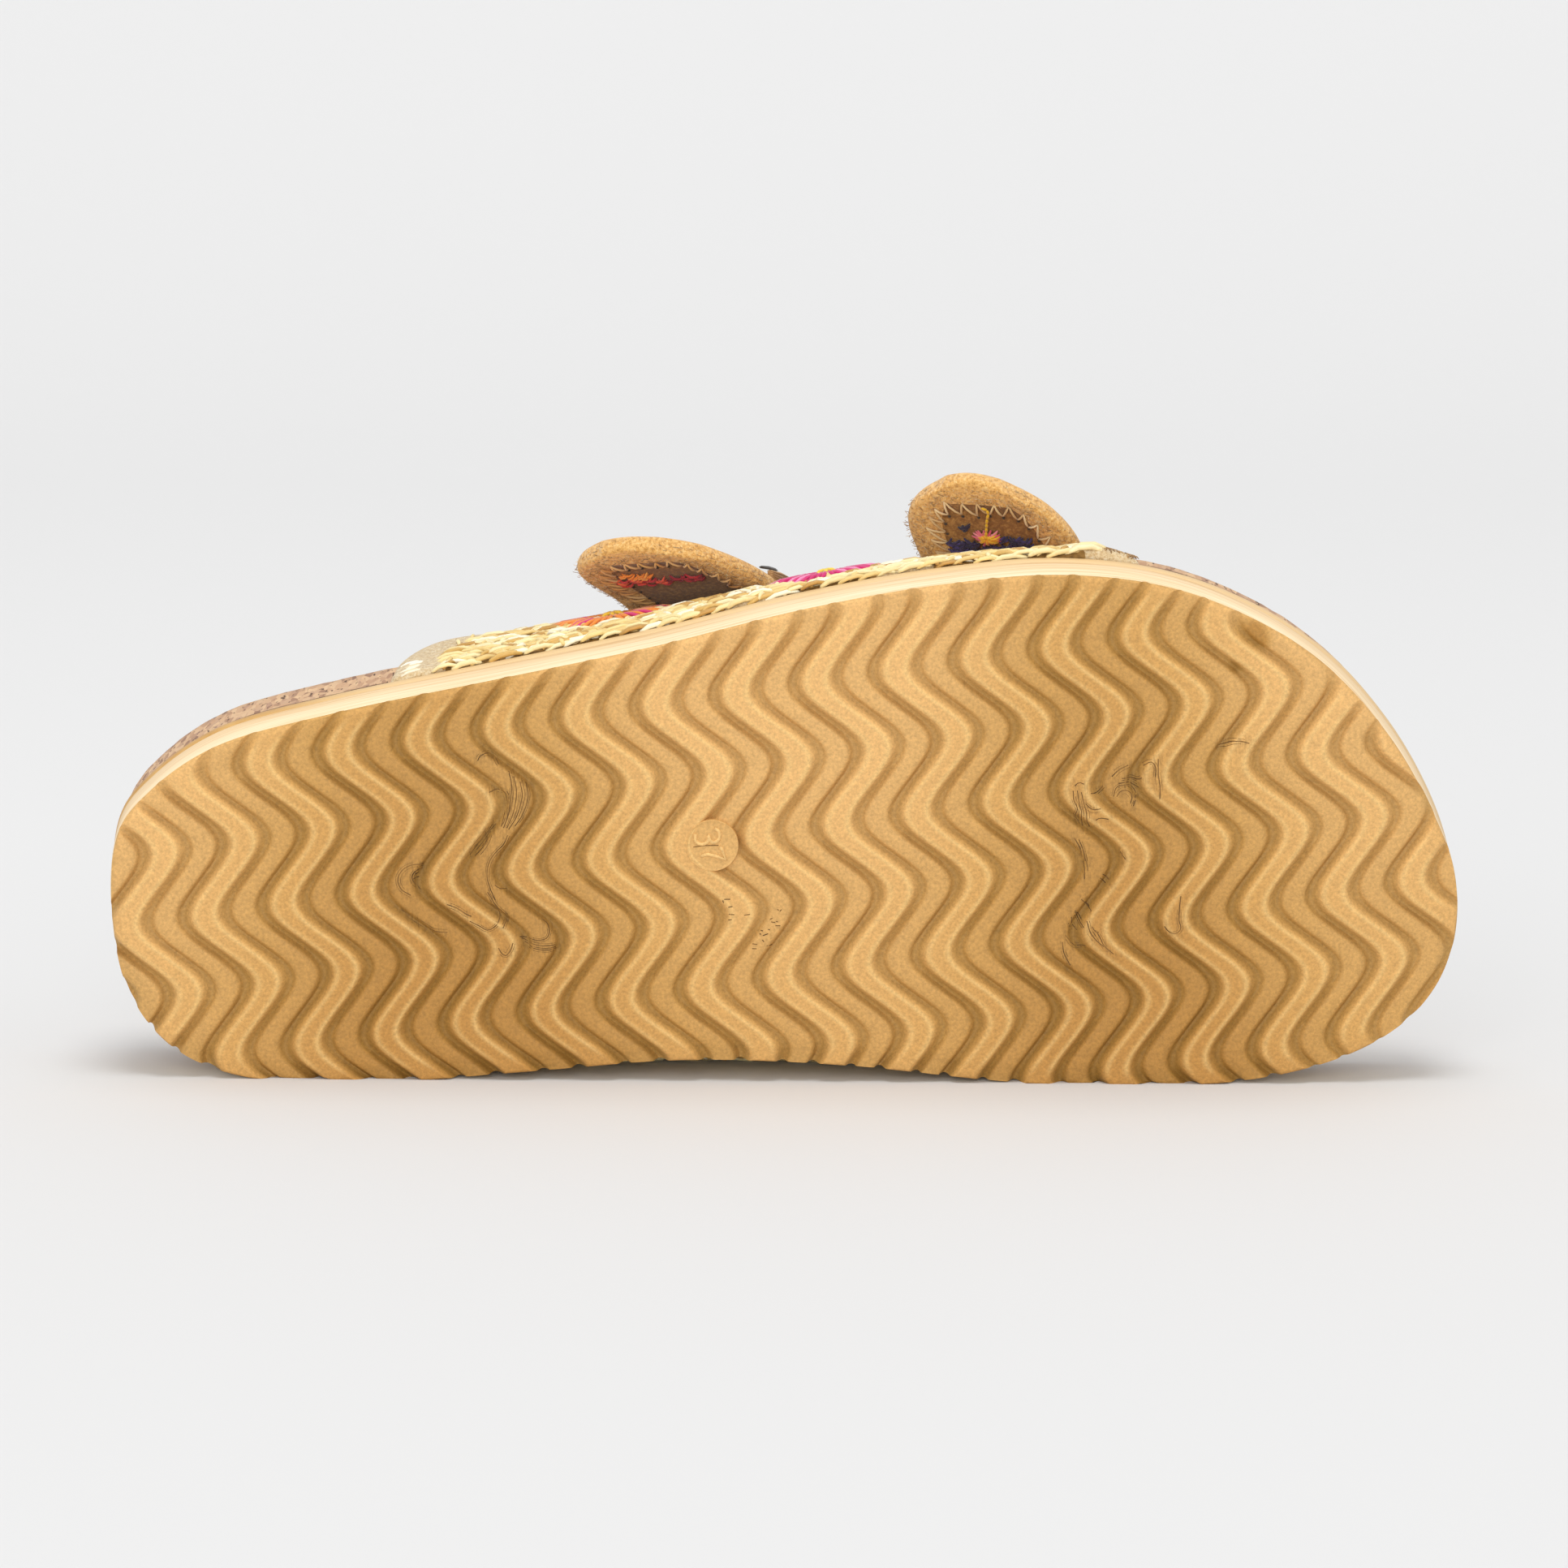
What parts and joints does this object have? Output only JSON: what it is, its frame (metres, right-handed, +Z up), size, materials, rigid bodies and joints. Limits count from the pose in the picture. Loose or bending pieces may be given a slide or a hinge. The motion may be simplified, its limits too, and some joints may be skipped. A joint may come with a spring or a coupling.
{
  "type": "two-strap footbed mule",
  "caption": "Women's right footbed mule lying on its medial side: foam outsole with wave tread, cork footbed, plaited raffia upper with two buckled straps.",
  "frame": {"origin": "on the floor under the middle of the lying shoe's box", "axes": "+X from heel to toe, +Y from the tread to the upper, +Z up from the floor to the lateral side"},
  "size_m": [0.252, 0.0826, 0.1118],
  "materials": {
    "eva_foam": "matte",
    "cork": "matte",
    "suede_sock": "matte",
    "raffia": "matte",
    "buckle_metal": "satin"
  },
  "bodies": {
    "root": {"outsole": "eva_foam", "footbed": "cork", "insole": "suede_sock", "upper_straps": "raffia", "upper_quarter": "raffia", "buckle_rear": "buckle_metal", "buckle_front": "buckle_metal", "prong_rear": "buckle_metal", "prong_front": "buckle_metal"}
  },
  "joints": []
}
